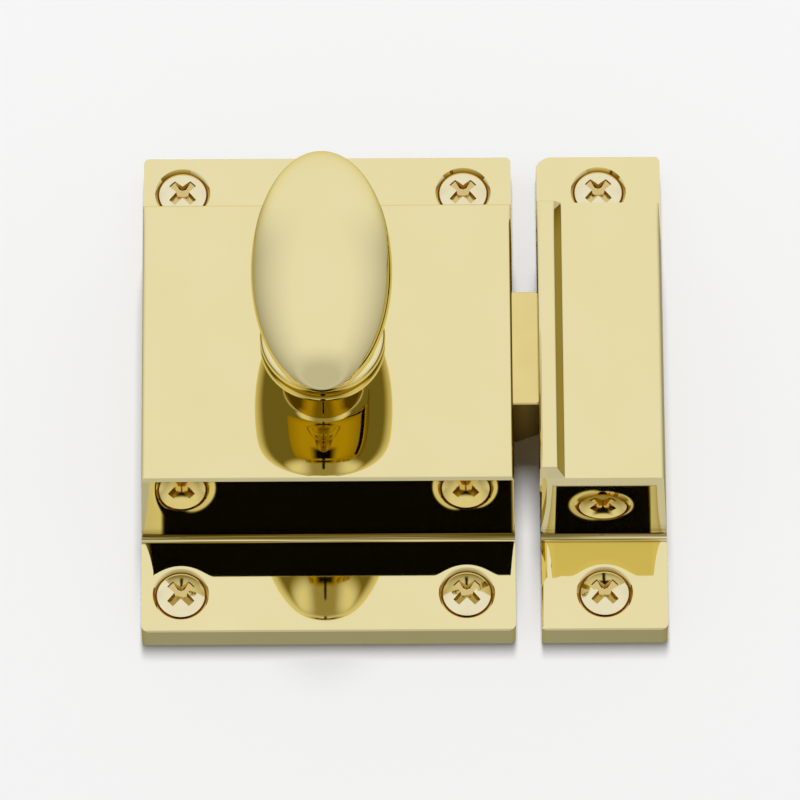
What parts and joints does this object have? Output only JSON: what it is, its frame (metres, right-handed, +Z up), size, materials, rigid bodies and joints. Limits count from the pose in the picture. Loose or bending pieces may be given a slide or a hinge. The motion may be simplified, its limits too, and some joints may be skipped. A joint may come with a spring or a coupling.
{
  "type": "cupboard catch latch",
  "caption": "Polished brass surface latch with an egg-shaped turn knob and a spring bolt that enters a narrow screwed-on keeper.",
  "frame": {"origin": "on the knob's axis, in the mounting plane behind the latch case", "axes": "+X along the bolt towards the keeper, +Z up the door, +Y into the door, so the knob points along -Y"},
  "size_m": [0.0626, 0.0537, 0.0636],
  "materials": {
    "polished_brass": "mirror polished and lacquered",
    "screw_brass": "bright turned",
    "bolt_brass": "satin extruded",
    "rolled_brass": "rolled sheet",
    "steel": "bright zinc",
    "spring_steel": "drawn wire"
  },
  "bodies": {
    "latch": {"latch_case": "polished_brass", "back_plate": "rolled_brass", "back_plate_screws": "steel", "case_screws": "screw_brass", "keeper": "polished_brass", "keeper_screws": "screw_brass", "bolt_spring": "spring_steel", "thrust_washer": "rolled_brass"},
    "turning_knob": {"knob": "polished_brass", "spindle": "steel", "tumbler": "bolt_brass", "tumbler_washer": "steel", "tumbler_screw": "steel"},
    "spring_bolt": {"bolt": "bolt_brass"}
  },
  "joints": [
    {"name": "knob_turn", "type": "hinge", "parent": "latch", "child": "turning_knob", "pos_m": [0, 0, 0], "axis": [0, 1, 0], "range_deg": [0, 60], "stiffness_Nm_per_rad": 0.031, "springref_deg": -48.13},
    {"name": "bolt_slide", "type": "slide", "parent": "latch", "child": "spring_bolt", "axis": [-1, 0, 0], "range_m": [0, 0.0075], "deforming": ["bolt_spring"]}
  ],
  "couplings": [
    {"joint": "bolt_slide", "follows": "knob_turn", "m_per_rad": 0.00716}
  ]
}
